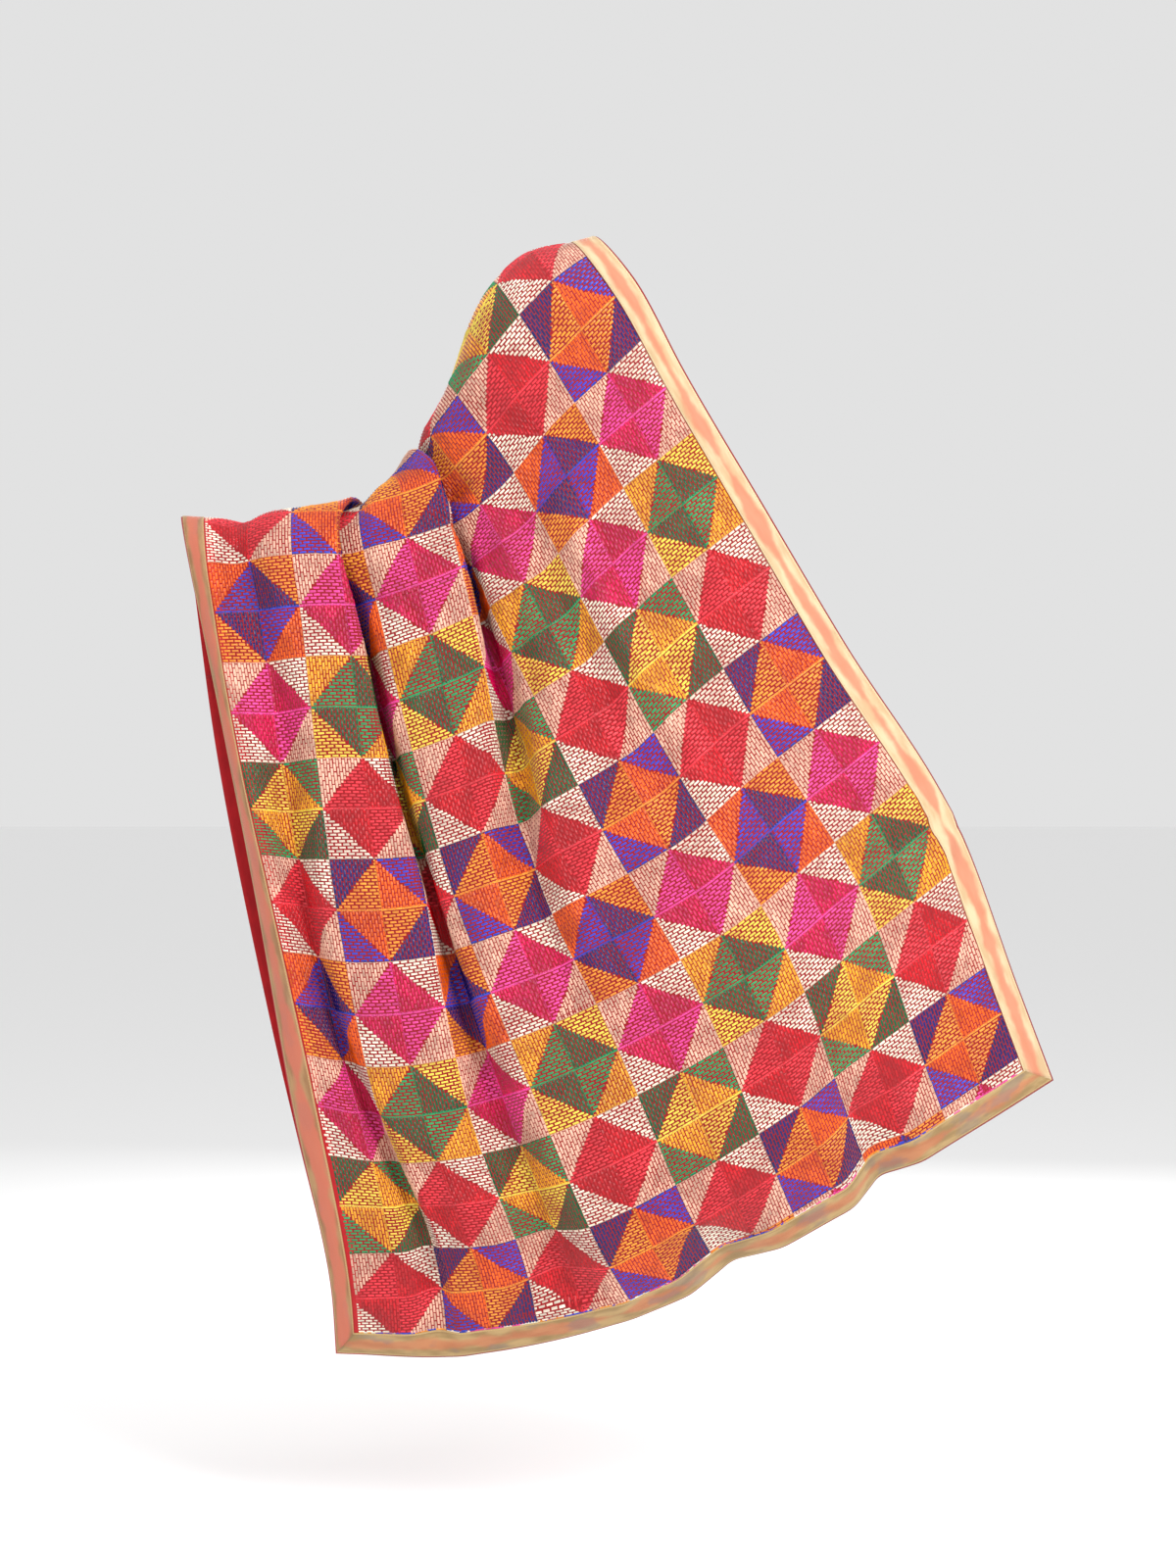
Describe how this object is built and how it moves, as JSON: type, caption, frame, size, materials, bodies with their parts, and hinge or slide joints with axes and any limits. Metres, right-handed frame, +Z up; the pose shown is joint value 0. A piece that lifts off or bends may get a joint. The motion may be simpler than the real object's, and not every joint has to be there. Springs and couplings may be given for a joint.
{
  "type": "phulkari shawl",
  "caption": "Rectangular embroidered shawl with a gold woven tape border, draped over a left shoulder and forearm, its back panel spread wide and its front panel in hanging folds.",
  "frame": {"origin": "top of the shoulder, on the line where the wearer's shoulder holds the shawl", "axes": "+Z up; +X from the wrist end towards the corner that the other hand spreads; the spread back panel with its embroidered side faces -Y and the front panel hangs on the +Y side"},
  "size_m": [1.0016, 0.3411, 1.2864],
  "materials": {
    "embroidered_cloth": "red cotton covered with glossy floss silk darning stitches in squares and diamonds of red, pink, purple, orange, yellow, green and cream; plain red reverse",
    "gold_tape": "woven pale gold tissue tape with a soft metallic sheen and cream fuzzy edges"
  },
  "bodies": {
    "root": {"shawl_back": "embroidered_cloth", "shawl_over_arm": "embroidered_cloth", "shawl_front": "embroidered_cloth", "tape_wrist_edge": "gold_tape", "tape_neck_edge": "gold_tape", "tape_back_end": "gold_tape", "tape_front_end": "gold_tape"}
  },
  "joints": []
}
